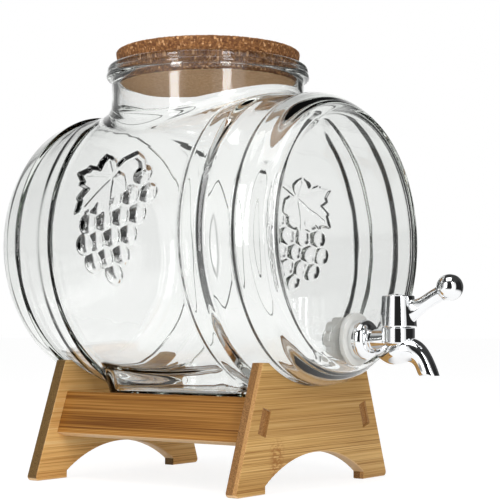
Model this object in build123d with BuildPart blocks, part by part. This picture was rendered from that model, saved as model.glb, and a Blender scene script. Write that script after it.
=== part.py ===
"""Glass barrel drink dispenser that lies on a bamboo cradle.

A cork stopper closes the neck on top and a chromed lever tap sits low in the front head.
Millimetres, +Z up, the tap faces -Y. The origin is the middle of the whole object's
footprint box, on the table.
"""
import math
import os

from build123d import *

os.makedirs("parts", exist_ok=True)

# Glass barrel, measured from its own middle along its axis
belly_radius = 96.0
stave_bow = 427.0          # radius of the long curve from head to head
hoop_proud = 3.1
hoop_ramp = 1.2            # run of the sloping edge of a hoop
inner_hoop_start = 51.7
inner_hoop_end = 67.0
outer_hoop_start = 86.0
outer_hoop_end = 98.0
chime_length = 9.0         # sloping end beyond the outer hoop
chime_drop = 6.7
head_rounding = 2.5
glass_wall = 4.5
inner_rounding = 3.0
neck_radius = 62.8
neck_wall = 3.5
neck_top = 115.5           # rim above the barrel's axis
neck_back = 2.0            # neck behind the barrel's middle
rim_height = 8.5
rim_proud = 3.5
foot_width = 87.0
foot_length = 106.0
foot_corner = 13.0
foot_draft = 15.0
foot_drop = 3.5            # foot below the belly
foot_wall = 6.0

# Cork stopper
cork_height = 21.0
cork_proud = 9.5           # stands above the rim
cork_taper = 7.9
cork_rounding = 1.2
cork_gap = 0.2

# Bamboo stand
stand_length = 166.0
panel_thickness = 8.0
panel_height = 75.5
panel_margin = 8.6         # board left outside a rail, square to the sloping side
cradle_depth = 14.7
cradle_gap = 0.3
splay = 19.3
arch_step = 4.5
arch_height = 20.8
panel_foot_length = 29.0   # of each panel foot on the table
panel_corner = 2.5
edge_rounding = 0.8
rail_thickness = 8.0
rail_depth = 27.8
rail_middle = 41.2         # height of a rail's middle
rail_gap = 2.5
tenon_depth = 15.6
tenon_recess = 1.5
tenon_gap = 0.1

# Tap
seat_margin = 0.25         # flat glass left outside the inner washer
shank_radius = 6.25
shank_bore = 3.6
shank_inside = 21.0        # shank behind the outer face of the glass head
hole_gap = 0.75
thread_pitch = 1.5
thread_depth = 0.6
fit_gap = 0.1
outer_washer_radius = 16.0
outer_washer_thickness = 3.0
inner_washer_radius = 13.5
inner_washer_thickness = 2.5
nut_radius = 13.4
nut_thickness = 8.5
nut_lobes = 8
bell_radius = 11.7
bell_rim = 4.0
bell_length = 10.0
bell_lip = 1.2             # escutcheon's wall at its nose
stop_width = 1.6
stop_height = 0.9
valve_reach = 31.0         # lever axis in front of the glass head
collar_radius = 9.75
collar_height = 7.0
valve_neck_radius = 7.5
valve_neck_top = 14.0
chamber_radius = 5.5
chamber_floor = -8.2
body_swell = 8.6           # radius of the body below the lever
spout_tip_radius = 5.05
spout_tip_drop = 20.7
spout_reach = 21.4         # tip in front of the lever axis
spout_bore = 3.5
plug_clearance = 0.05
plug_top = 9.0
plug_port = 3.2
plug_bore = 3.4
ring_section = 0.5
ring_offset = 5.6          # each ring above or below the tap axis
ring_gap = 0.02
stem_radius = 3.5
drive_square = 5.0
drive_top = 20.0
retainer_flange = 7.0
retainer_lip = 1.4
turn_gap = 0.3
cap_radius_low = 11.0
cap_radius_high = 9.6
cap_top = 25.8
cap_cavity = 8.3
cap_deck = 6.8             # solid part of the cap under its cover
button_radius = 7.0
button_dome = 0.9
screw_radius = 1.5
screw_head_radius = 2.8
screw_head_height = 1.6
ball_radius = 7.75
ball_reach = 34.2          # ball in front of the lever axis
ball_rise = 30.0
arm_width = 8.8            # lever arm where it leaves the cap
arm_depth = 15.2

# Derived levels and places
splay_sin = math.sin(math.radians(splay))
splay_cos = math.cos(math.radians(splay))
splay_tan = math.tan(math.radians(splay))


def stave_radius(along, inset=0.0):
    """Radius of the barrel's long curve at a distance from its middle."""
    bow = stave_bow - inset
    return belly_radius - inset - bow + math.sqrt(bow**2 - along**2)


def widest_radius(start, end):
    """Largest radius of the barrel between two distances from its middle, hoops included."""
    radius = stave_radius(start)
    for low, high in ((inner_hoop_start, inner_hoop_end), (outer_hoop_start, outer_hoop_end)):
        if start < high and low < end:
            radius = max(radius, stave_radius(max(start, low)) + hoop_proud)
    return radius


chime_end = outer_hoop_end + chime_length
chime_radius = stave_radius(outer_hoop_end) + hoop_proud - chime_drop
head_face = chime_end + head_rounding
inner_head = head_face - glass_wall
neck_bore = neck_radius - neck_wall
panel_inside = stand_length / 2 - panel_thickness
cradle_radius = widest_radius(panel_inside, stand_length / 2) + cradle_gap
barrel_z = panel_height - cradle_depth + cradle_radius
rim_z = barrel_z + neck_top
foot_z = barrel_z - belly_radius - foot_drop
inner_flat = stave_radius(inner_head, glass_wall) - inner_rounding
tap_drop = inner_flat - inner_washer_radius - seat_margin
tap_z = barrel_z - tap_drop

front_reach = head_face + valve_reach + ball_reach + ball_radius
middle_y = (front_reach - head_face) / 2
head_y = middle_y - head_face
valve_y = head_y - valve_reach
neck_y = middle_y + neck_back

# Section planes: barrel_section holds (along, up) of the barrel, tap_section the same of
# the tap with its along axis pointing out of the head
barrel_section = Plane(origin=(0, middle_y, barrel_z), x_dir=(0, 1, 0), z_dir=(1, 0, 0))
barrel_axis = Axis((0, middle_y, barrel_z), (0, 1, 0))
neck_section = Plane(origin=(0, neck_y, rim_z), x_dir=(0, 1, 0), z_dir=(1, 0, 0))
neck_axis = Axis((0, neck_y, 0), (0, 0, 1))
tap_section = Plane(origin=(0, head_y, tap_z), x_dir=(0, -1, 0), z_dir=(-1, 0, 0))
tap_axis = Axis((0, head_y, tap_z), (0, 1, 0))
tap_face = Plane(origin=(0, head_y, tap_z), x_dir=(1, 0, 0), z_dir=(0, -1, 0))
valve_section = Plane(origin=(0, valve_y, tap_z), x_dir=(0, -1, 0), z_dir=(-1, 0, 0))
valve_axis = Axis((0, valve_y, 0), (0, 0, 1))
valve_plane = Plane(origin=(0, valve_y, tap_z), x_dir=(1, 0, 0), z_dir=(0, 0, 1))


def stave_point(along, proud=0.0):
    """Point of the barrel's outline in its section plane."""
    return (along, stave_radius(along) + proud)


def stave_arc(start, end, proud=0.0):
    """Stretch of the barrel's long curve, lifted by a hoop's height if asked."""
    middle = (start + end) / 2
    ThreePointArc(stave_point(start, proud), stave_point(middle, proud), stave_point(end, proud))


def hoop_outline(start, end):
    """Hoop with two sloping edges on the long curve."""
    rise = start + hoop_ramp
    fall = end - hoop_ramp
    Line(stave_point(start), stave_point(rise, hoop_proud))
    stave_arc(rise, fall, hoop_proud)
    Line(stave_point(fall, hoop_proud), stave_point(end))


with BuildPart() as glass_barrel:
    # One half of the outline, from the middle of the belly to the head, then its mirror
    with BuildSketch(barrel_section):
        with BuildLine():
            stave_arc(0, inner_hoop_start)
            hoop_outline(inner_hoop_start, inner_hoop_end)
            stave_arc(inner_hoop_end, outer_hoop_start)
            rise = outer_hoop_start + hoop_ramp
            Line(stave_point(outer_hoop_start), stave_point(rise, hoop_proud))
            stave_arc(rise, outer_hoop_end, hoop_proud)
            Line(stave_point(outer_hoop_end, hoop_proud), (chime_end, chime_radius))
            RadiusArc((chime_end, chime_radius), (head_face, chime_radius - head_rounding), head_rounding)
            Line((head_face, chime_radius - head_rounding), (head_face, 0))
            mirror(about=Plane.YZ)
            Line((-head_face, 0), (head_face, 0))
        make_face()
    revolve(axis=barrel_axis)
    # Neck with two stacked rolls for a rim
    with BuildSketch(neck_section):
        with BuildLine():
            roll = rim_height / 2
            Polyline((neck_radius, -roll * 2), (neck_radius, -neck_top), (0, -neck_top), (0, 0))
            Line((0, 0), (neck_radius, 0))
            waist = neck_radius + rim_proud * 0.5
            ThreePointArc((neck_radius, 0), (neck_radius + rim_proud * 0.8, -roll / 2), (waist, -roll))
            ThreePointArc(
                (waist, -roll),
                (neck_radius + rim_proud, -roll * 1.45),
                (neck_radius, -roll * 2),
            )
        make_face()
    revolve(axis=neck_axis)
    # Foot pad, wider towards the belly
    with BuildSketch(Plane.XY.offset(foot_z)):
        with Locations((0, middle_y)):
            RectangleRounded(foot_width, foot_length, foot_corner)
    extrude(amount=belly_radius / 2, taper=-foot_draft)
    # Inside: barrel, neck bore, foot and tap hole
    with BuildSketch(barrel_section):
        with BuildLine():
            corner = stave_radius(inner_head, glass_wall)
            ThreePointArc((-inner_head, corner), (0, belly_radius - glass_wall), (inner_head, corner))
            Polyline((inner_head, corner), (inner_head, 0), (-inner_head, 0), (-inner_head, corner))
        face = make_face()
        fillet(face.vertices().group_by(Axis.Y)[-1], inner_rounding)
    revolve(axis=barrel_axis, mode=Mode.SUBTRACT)
    with BuildSketch(Plane.XY.offset(barrel_z)):
        with Locations((0, neck_y)):
            Circle(neck_bore)
    extrude(amount=neck_top, mode=Mode.SUBTRACT)
    with BuildSketch(Plane.XY.offset(foot_z + foot_wall)):
        with Locations((0, middle_y)):
            RectangleRounded(foot_width - 2 * foot_wall, foot_length - 2 * foot_wall, foot_corner / 2)
    extrude(amount=belly_radius / 2, taper=-foot_draft, mode=Mode.SUBTRACT)
    with BuildSketch(tap_face):
        Circle(shank_radius + hole_gap)
    extrude(amount=-2 * glass_wall, mode=Mode.SUBTRACT)

cork_at_rim = neck_bore - cork_gap
cork_tan = math.tan(math.radians(cork_taper))

with BuildPart() as cork_stopper:
    with BuildSketch(neck_section):
        below = cork_height - cork_proud
        wide = cork_at_rim + cork_proud * cork_tan
        narrow = cork_at_rim - below * cork_tan
        with BuildLine():
            Polyline((0, -below), (narrow, -below), (wide, cork_proud), (0, cork_proud), close=True)
        face = make_face()
        fillet(face.vertices().group_by(Axis.X)[1:], cork_rounding)
    revolve(axis=neck_axis)

# A rail's middle is set by its corner nearest the glass foot
rail_x = (
    foot_width / 2
    + rail_gap
    + rail_thickness / 2 * splay_cos
    + rail_depth / 2 * splay_sin
)


def side_x(level):
    """Half width of a panel at a height: its sloping side runs parallel to the rail."""
    return rail_x + (rail_thickness / 2 + panel_margin) / splay_cos - (level - rail_middle) * splay_tan


def stand_plane(along):
    """Upright plane across the stand, at a distance behind its middle."""
    return Plane(origin=(0, middle_y + along, 0), x_dir=(1, 0, 0), z_dir=(0, -1, 0))


def cradle_panel(outer_face):
    """Board with a cradle on top, an arch between its feet and a slot for each tenon."""
    with BuildPart() as panel:
        arch_half = side_x(0) - panel_foot_length
        with BuildSketch(stand_plane(outer_face)):
            with BuildLine():
                Polyline(
                    (-side_x(0), 0),
                    (side_x(0), 0),
                    (side_x(panel_height), panel_height),
                    (-side_x(panel_height), panel_height),
                    close=True,
                )
            face = make_face()
            fillet(face.vertices().group_by(Axis.Y)[0], panel_corner)
            with Locations((0, barrel_z)):
                Circle(cradle_radius, mode=Mode.SUBTRACT)
            with BuildLine():
                ThreePointArc((-arch_half, arch_step), (0, arch_height), (arch_half, arch_step))
                Polyline((arch_half, arch_step), (arch_half, 0), (-arch_half, 0), (-arch_half, arch_step))
            make_face(mode=Mode.SUBTRACT)
        extrude(amount=-panel_thickness)
        rims = panel.faces().sort_by(Axis.Y)
        fillet(rims[0].edges() + rims[-1].edges(), edge_rounding)
        with BuildSketch(stand_plane(outer_face)):
            for side in (-1, 1):
                with Locations((side * rail_x, rail_middle)):
                    Rectangle(
                        rail_thickness + 2 * tenon_gap,
                        tenon_depth + 2 * tenon_gap,
                        rotation=side * splay,
                    )
        extrude(amount=-panel_thickness, mode=Mode.SUBTRACT)
    return panel


def rail_board(side):
    """Slanted board between the panels with a tenon through each of them."""
    with BuildPart() as rail:
        with BuildSketch(stand_plane(0)):
            with Locations((side * rail_x, rail_middle)):
                RectangleRounded(rail_thickness, rail_depth, edge_rounding, rotation=side * splay)
        extrude(amount=panel_inside, both=True)
        with BuildSketch(stand_plane(0)):
            with Locations((side * rail_x, rail_middle)):
                Rectangle(rail_thickness, tenon_depth, rotation=side * splay)
        extrude(amount=stand_length / 2 - tenon_recess, both=True)
    return rail


stand_front_panel = cradle_panel(-stand_length / 2)
stand_rear_panel = cradle_panel(stand_length / 2 - panel_thickness)
stand_left_rail = rail_board(-1)
stand_right_rail = rail_board(1)


def ring(section, axis, start, length, outer, inner):
    """Plain ring on an axis; start and length run along the section plane's first axis."""
    with BuildPart() as plain:
        with BuildSketch(section):
            with Locations((start + length / 2, (outer + inner) / 2)):
                Rectangle(length, outer - inner)
        revolve(axis=axis)
    return plain


ring_bore = shank_radius + fit_gap
outer_washer = ring(tap_section, tap_axis, 0, outer_washer_thickness, outer_washer_radius, ring_bore)
inner_washer = ring(
    tap_section,
    tap_axis,
    -glass_wall - inner_washer_thickness,
    inner_washer_thickness,
    inner_washer_radius,
    ring_bore,
)

nut_start = -glass_wall - inner_washer_thickness - nut_thickness

with BuildPart() as tap_lock_nut:
    with BuildSketch(tap_face.offset(nut_start)):
        lobe = nut_radius * math.sin(math.pi / nut_lobes) * 0.85
        Circle(nut_radius - lobe)
        with PolarLocations(nut_radius - lobe, nut_lobes):
            Circle(lobe)
        Circle(ring_bore, mode=Mode.SUBTRACT)
    extrude(amount=nut_thickness)
    # Smooth collar that bears on the washer
    with BuildSketch(tap_face.offset(nut_start + nut_thickness)):
        Circle(nut_radius)
        Circle(ring_bore, mode=Mode.SUBTRACT)
    extrude(amount=-nut_thickness / 4)

bell_end = outer_washer_thickness + bell_length
bell_nose = shank_radius + bell_lip

with BuildPart() as tap_escutcheon:
    with BuildSketch(tap_section):
        with BuildLine():
            flare = (outer_washer_thickness + bell_rim, bell_radius)
            Polyline(
                flare,
                (outer_washer_thickness, bell_radius),
                (outer_washer_thickness, ring_bore),
                (bell_end, ring_bore),
                (bell_end, bell_nose),
            )
            bulge = (bell_radius - bell_nose) * 0.8 + bell_nose
            ThreePointArc((bell_end, bell_nose), (bell_end - bell_rim * 0.45, bulge), flare)
        face = make_face()
        rim = face.vertices().sort_by_distance((outer_washer_thickness, bell_radius))[:1]
        fillet(rim, edge_rounding)
    revolve(axis=tap_axis)

# Drop-shaped belly under the shank and the spout that it runs into:
# distance out from the head, height from the tap axis, dip below level, radius
tip_out = valve_reach + spout_reach
tip_up = -spout_tip_drop
body_stations = (
    (bell_end + stop_width * 1.6, -body_swell * 0.88, -12.0, body_swell * 0.15),
    (valve_reach * 0.65, -body_swell * 0.88, 0.0, body_swell * 0.51),
    (valve_reach * 0.84, -body_swell * 0.81, 5.0, body_swell * 0.86),
    (valve_reach * 1.05, -body_swell * 0.74, 14.0, body_swell),
    (valve_reach + spout_reach * 0.5, tip_up * 0.35, 32.0, spout_tip_radius * 1.42),
    (valve_reach + spout_reach * 0.76, tip_up * 0.58, 54.0, spout_tip_radius * 1.16),
    (tip_out, tip_up, 90.0, spout_tip_radius),
)


def station_plane(station):
    """Plane square to the body's run at one of its stations."""
    out, up, dip, _ = station
    slope = math.radians(dip)
    place = (0, head_y - out, tap_z + up)
    return Plane(origin=place, x_dir=(1, 0, 0), z_dir=(0, -math.cos(slope), -math.sin(slope)))


with BuildPart() as tap_body:
    # Belly and spout
    for station in body_stations:
        with BuildSketch(station_plane(station)):
            Circle(station[3])
    loft()
    # Shank with a stop for the escutcheon; rings of the thread's pitch and depth inside
    with BuildSketch(tap_section):
        turns = int((shank_inside - glass_wall / 2) / thread_pitch)
        with BuildLine():
            Polyline(
                (valve_reach, 0),
                (valve_reach, shank_radius),
                (bell_end + stop_width, shank_radius),
                (bell_end + stop_width, shank_radius + stop_height),
                (bell_end, shank_radius + stop_height),
                (bell_end, shank_radius),
                (-shank_inside + turns * thread_pitch, shank_radius),
            )
            for turn in range(turns, 0, -1):
                crest = -shank_inside + turn * thread_pitch
                Polyline(
                    (crest, shank_radius),
                    (crest - thread_pitch / 2, shank_radius - thread_depth),
                    (crest - thread_pitch, shank_radius),
                )
            Polyline((-shank_inside, shank_radius), (-shank_inside, 0), (valve_reach, 0))
        make_face()
    revolve(axis=tap_axis)
    # Collar under the lever and the neck inside it
    with BuildSketch(valve_section):
        with BuildLine():
            skirt = -collar_height / 3
            Polyline(
                (0, skirt),
                (collar_radius, skirt),
                (collar_radius, collar_height),
                (0, collar_height),
                close=True,
            )
        face = make_face()
        fillet(face.vertices().group_by(Axis.X)[-1], edge_rounding)
    revolve(axis=valve_axis)
    with BuildSketch(valve_plane):
        Circle(valve_neck_radius)
    extrude(amount=valve_neck_top)
    # Valve chamber, inlet and spout bore
    with BuildSketch(valve_plane.offset(chamber_floor)):
        Circle(chamber_radius)
    extrude(amount=valve_neck_top - chamber_floor, mode=Mode.SUBTRACT)
    with BuildSketch(tap_face.offset(-shank_inside)):
        Circle(shank_bore)
    extrude(amount=shank_inside + valve_reach, mode=Mode.SUBTRACT)
    for station in body_stations[3:]:
        with BuildSketch(station_plane(station)):
            Circle(spout_bore)
    loft(mode=Mode.SUBTRACT)

plug_radius = chamber_radius - plug_clearance
groove_radius = chamber_radius - 2 * (ring_section + ring_gap)
plug_foot = chamber_floor + fit_gap

with BuildPart() as valve_plug:
    with BuildSketch(valve_section):
        with BuildLine():
            Polyline(
                (0, plug_foot),
                (plug_radius, plug_foot),
                (plug_radius, plug_top),
                (stem_radius, plug_top),
                (stem_radius, valve_neck_top),
                (0, valve_neck_top),
                close=True,
            )
        make_face()
        for level in (-ring_offset, ring_offset):
            with Locations((plug_radius, level)):
                Rectangle(2 * (plug_radius - groove_radius), 2.6 * ring_section, mode=Mode.SUBTRACT)
    revolve(axis=valve_axis)
    # Square drive for the lever, open bottom, side ports and screw hole
    with BuildSketch(valve_plane.offset(valve_neck_top)):
        Rectangle(drive_square, drive_square)
    extrude(amount=drive_top - valve_neck_top)
    with BuildSketch(valve_plane.offset(plug_foot)):
        Circle(plug_bore)
    extrude(amount=plug_port - plug_foot, mode=Mode.SUBTRACT)
    with BuildSketch(Plane(origin=(0, valve_y, tap_z), x_dir=(0, 1, 0), z_dir=(1, 0, 0))):
        Circle(plug_port)
    extrude(amount=2 * plug_radius, both=True, mode=Mode.SUBTRACT)
    with BuildSketch(valve_plane.offset(drive_top)):
        Circle(screw_radius + ring_gap)
    extrude(amount=plug_top - drive_top, mode=Mode.SUBTRACT)


def plug_ring(level):
    """Rubber ring in a groove of the plug."""
    with BuildPart() as rubber:
        with BuildSketch(valve_section):
            with Locations((chamber_radius - ring_gap - ring_section, level)):
                Circle(ring_section)
        revolve(axis=valve_axis)
    return rubber


plug_o_ring_lower = plug_ring(-ring_offset)
plug_o_ring_upper = plug_ring(ring_offset)

with BuildPart() as plug_retainer:
    with BuildSketch(valve_section):
        stem_hole = stem_radius + turn_gap
        with BuildLine():
            Polyline(
                (stem_hole, plug_top + turn_gap),
                (plug_radius, plug_top + turn_gap),
                (plug_radius, valve_neck_top),
                (retainer_flange, valve_neck_top),
                (retainer_flange, valve_neck_top + retainer_lip),
                (stem_hole, valve_neck_top + retainer_lip),
                close=True,
            )
        make_face()
    revolve(axis=valve_axis)

cap_foot = collar_height + turn_gap
cavity_top = valve_neck_top + retainer_lip + 2 * turn_gap
deck_top = cavity_top + cap_deck
head_space = screw_head_height + turn_gap

# Lever arm: distance from the lever axis, height, rise angle, half width and half height
arm_stations = (
    (cap_cavity * 1.06, ball_rise * 0.56, 6.0, arm_width / 2, arm_depth / 2),
    (ball_reach * 0.40, ball_rise * 0.63, 18.0, arm_width * 0.34, arm_depth * 0.33),
    (ball_reach * 0.60, ball_rise * 0.76, 32.0, arm_width * 0.31, arm_depth * 0.28),
    (ball_reach * 0.82, ball_rise * 0.88, 38.0, arm_width * 0.375, arm_depth * 0.31),
)

with BuildPart() as tap_lever:
    # Tapered cap, turned as a shell over the valve neck
    with BuildSketch(valve_section):
        with BuildLine():
            Polyline(
                (0, cap_foot),
                (cap_radius_low, cap_foot),
                (cap_radius_high, cap_top),
                (0, cap_top),
                close=True,
            )
        face = make_face()
        fillet(face.vertices().group_by(Axis.X)[1:], edge_rounding)
    revolve(axis=valve_axis)
    # Arm and ball
    for reach, level, slope, half_width, half_height in arm_stations:
        rise = math.radians(slope)
        normal = (0, -math.cos(rise), math.sin(rise))
        place = (0, valve_y - reach, tap_z + level)
        with BuildSketch(Plane(origin=place, x_dir=(1, 0, 0), z_dir=normal)):
            Ellipse(half_width, half_height)
    loft()
    with Locations((0, valve_y - ball_reach, tap_z + ball_rise)):
        Sphere(ball_radius)
    # Cavity for the valve neck, socket for the square drive, screw hole and cover seat
    with BuildSketch(valve_plane.offset(cap_foot)):
        Circle(cap_cavity)
    extrude(amount=cavity_top - cap_foot, mode=Mode.SUBTRACT)
    with BuildSketch(valve_plane.offset(cavity_top)):
        Rectangle(drive_square + 2 * fit_gap, drive_square + 2 * fit_gap)
    extrude(amount=drive_top + fit_gap - cavity_top, mode=Mode.SUBTRACT)
    with BuildSketch(valve_plane.offset(cavity_top)):
        Circle(screw_radius + fit_gap)
    extrude(amount=cap_deck, mode=Mode.SUBTRACT)
    with BuildSketch(valve_plane.offset(deck_top)):
        Circle(button_radius + fit_gap)
    extrude(amount=cap_top - deck_top, mode=Mode.SUBTRACT)

with BuildPart() as lever_screw:
    with BuildSketch(valve_plane.offset(deck_top)):
        Circle(screw_head_radius)
    extrude(amount=screw_head_height)
    with BuildSketch(valve_plane.offset(deck_top)):
        Circle(screw_radius)
    extrude(amount=plug_top + 2 * turn_gap - deck_top)
    # Straight slot for the driver
    with BuildSketch(valve_plane.offset(deck_top + screw_head_height)):
        Rectangle(2 * screw_head_radius, screw_radius / 2)
    extrude(amount=-screw_head_height / 2, mode=Mode.SUBTRACT)

with BuildPart() as lever_button:
    with BuildSketch(valve_section):
        with BuildLine():
            Polyline(
                (0, cap_top + button_dome),
                (0, deck_top + head_space),
                (screw_head_radius + turn_gap, deck_top + head_space),
                (screw_head_radius + turn_gap, deck_top),
                (button_radius, deck_top),
                (button_radius, cap_top),
            )
            dome_bow = (button_radius**2 + button_dome**2) / (2 * button_dome)
            RadiusArc((button_radius, cap_top), (0, cap_top + button_dome), -dome_bow)
        make_face()
    revolve(axis=valve_axis)

pieces = {
    "glass_barrel": glass_barrel,
    "cork_stopper": cork_stopper,
    "stand_front_panel": stand_front_panel,
    "stand_rear_panel": stand_rear_panel,
    "stand_left_rail": stand_left_rail,
    "stand_right_rail": stand_right_rail,
    "outer_washer": outer_washer,
    "inner_washer": inner_washer,
    "tap_lock_nut": tap_lock_nut,
    "tap_escutcheon": tap_escutcheon,
    "tap_body": tap_body,
    "valve_plug": valve_plug,
    "plug_o_ring_lower": plug_o_ring_lower,
    "plug_o_ring_upper": plug_o_ring_upper,
    "plug_retainer": plug_retainer,
    "tap_lever": tap_lever,
    "lever_screw": lever_screw,
    "lever_button": lever_button,
}

for label, piece in pieces.items():
    piece.part.label = label
    export_step(piece.part, f"parts/{label}.step")
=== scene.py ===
"""Glass barrel drink dispenser on a bamboo cradle: meshes, finishes and studio.

Sizes in the classes are in millimetres, as on a maker's drawing. Meshes are written in metres,
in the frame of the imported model: +Z up, the tap faces -Y, the origin on the table.
"""
import logging
import math
from dataclasses import dataclass, field
from enum import Enum
from typing import Any, Callable, ClassVar, Sequence

import bmesh
import bpy
import numpy as np
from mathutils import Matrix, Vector
from mathutils.geometry import delaunay_2d_cdt


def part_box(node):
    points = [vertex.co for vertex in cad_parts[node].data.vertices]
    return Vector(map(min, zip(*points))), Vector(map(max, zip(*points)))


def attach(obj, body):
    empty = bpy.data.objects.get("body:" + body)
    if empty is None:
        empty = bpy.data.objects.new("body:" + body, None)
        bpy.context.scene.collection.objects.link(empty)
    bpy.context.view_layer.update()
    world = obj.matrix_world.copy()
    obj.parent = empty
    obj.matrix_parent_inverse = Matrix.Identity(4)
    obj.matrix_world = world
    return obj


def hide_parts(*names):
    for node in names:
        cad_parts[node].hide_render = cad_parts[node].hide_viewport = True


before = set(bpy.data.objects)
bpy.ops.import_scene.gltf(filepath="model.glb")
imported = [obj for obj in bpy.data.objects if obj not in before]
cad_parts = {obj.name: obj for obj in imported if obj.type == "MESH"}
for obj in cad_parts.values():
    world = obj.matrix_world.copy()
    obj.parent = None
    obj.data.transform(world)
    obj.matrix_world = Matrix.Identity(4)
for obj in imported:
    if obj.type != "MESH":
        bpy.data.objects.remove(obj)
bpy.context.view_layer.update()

LOG = logging.getLogger("dispenser")
MM = 0.001
TURN = 2 * math.pi

Colour = tuple[float, float, float]
Spot = tuple[float, float, float]
Stretch = tuple[float, float, float]
Point = tuple[float, float]
Tones = tuple[Colour, Colour]
Socket = bpy.types.NodeSocket
Axes = bpy.types.bpy_prop_collection
Shape = Callable[[np.ndarray, np.ndarray], np.ndarray]


class Grain(Enum):
    """Way the fibres of a bamboo board run, by its axis."""

    ACROSS = "X"
    ALONG = "Y"


class Side(Enum):
    """Side of the barrel that carries an ornament, by its direction along X."""

    LEFT = -1
    RIGHT = 1


def smooth_step(value: np.ndarray) -> np.ndarray:
    """Soft rise from 0 to 1 as the value goes from 0 to 1."""
    held = np.clip(value, 0.0, 1.0)
    return held * held * (3.0 - 2.0 * held)


def soft_max(first: np.ndarray, second: np.ndarray, blend: float) -> np.ndarray:
    """Larger of two heights, with a rounded valley of the given size between them."""
    gap = np.clip(0.5 + 0.5 * (first - second) / blend, 0.0, 1.0)
    return second + (first - second) * gap + blend * gap * (1.0 - gap)


def soft_min(first: np.ndarray, second: np.ndarray, blend: float) -> np.ndarray:
    """Smaller of two heights, with a rounded edge of the given size between them."""
    return -soft_max(-first, -second, blend)


def bezier(start: Sequence, pull: Sequence, end: Sequence, steps: int) -> np.ndarray:
    """Points of a three-point curve.

    Args:
        start: first point, or an array of them.
        pull: point that both ends head for.
        end: last point.
        steps: number of spans.

    Returns:
        Array of steps + 1 points, both ends included.
    """
    start, pull, end = (np.asarray(p, float) for p in (start, pull, end))
    rows = []
    for step in np.linspace(0.0, 1.0, steps + 1):
        rows.append((1 - step) ** 2 * start + 2 * step * (1 - step) * pull + step**2 * end)
    return np.array(rows)


def stations(stretches: Sequence[Stretch]) -> np.ndarray:
    """Places along a line, closer together where the shape is busy.

    Args:
        stretches: start, end and spacing of each stretch, in order.

    Returns:
        Rising array of places.
    """
    places: list[float] = []
    for start, end, spacing in stretches:
        spans = max(1, round((end - start) / spacing))
        places.extend(np.linspace(start, end, spans + 1)[:-1])
    places.append(stretches[-1][1])
    return np.array(places)


def inside_loop(points: np.ndarray, loop: np.ndarray) -> np.ndarray:
    """Find which flat points lie inside a closed flat loop.

    Args:
        points: places, one to a row.
        loop: corners of the loop, in order.

    Returns:
        True for each point inside.
    """
    x, y = points[:, :1], points[:, 1:]
    ax, ay = loop[:, 0], loop[:, 1]
    bx, by = np.roll(ax, -1), np.roll(ay, -1)
    spans = (ay > y) != (by > y)
    rise = np.where(by == ay, 1.0, by - ay)
    crossing = spans & (x < (bx - ax) * (y - ay) / rise + ax)
    return crossing.sum(axis=1) % 2 == 1


def line_distance(points: np.ndarray, start: Point, end: Point) -> np.ndarray:
    """Measure how far flat points lie from a straight stretch.

    Args:
        points: places; their last axis is the two coordinates.
        start: one end of the stretch.
        end: its other end.

    Returns:
        Distances, in the shape of the points.
    """
    origin = np.asarray(start, float)
    run = np.asarray(end, float) - origin
    share = np.clip((points - origin) @ run / (run @ run), 0.0, 1.0)
    return np.linalg.norm(points - origin - share[..., None] * run, axis=-1)


def round_angles(count: int) -> np.ndarray:
    """Evenly spaced angles of one whole turn."""
    return np.linspace(0.0, TURN, count, endpoint=False)


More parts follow.
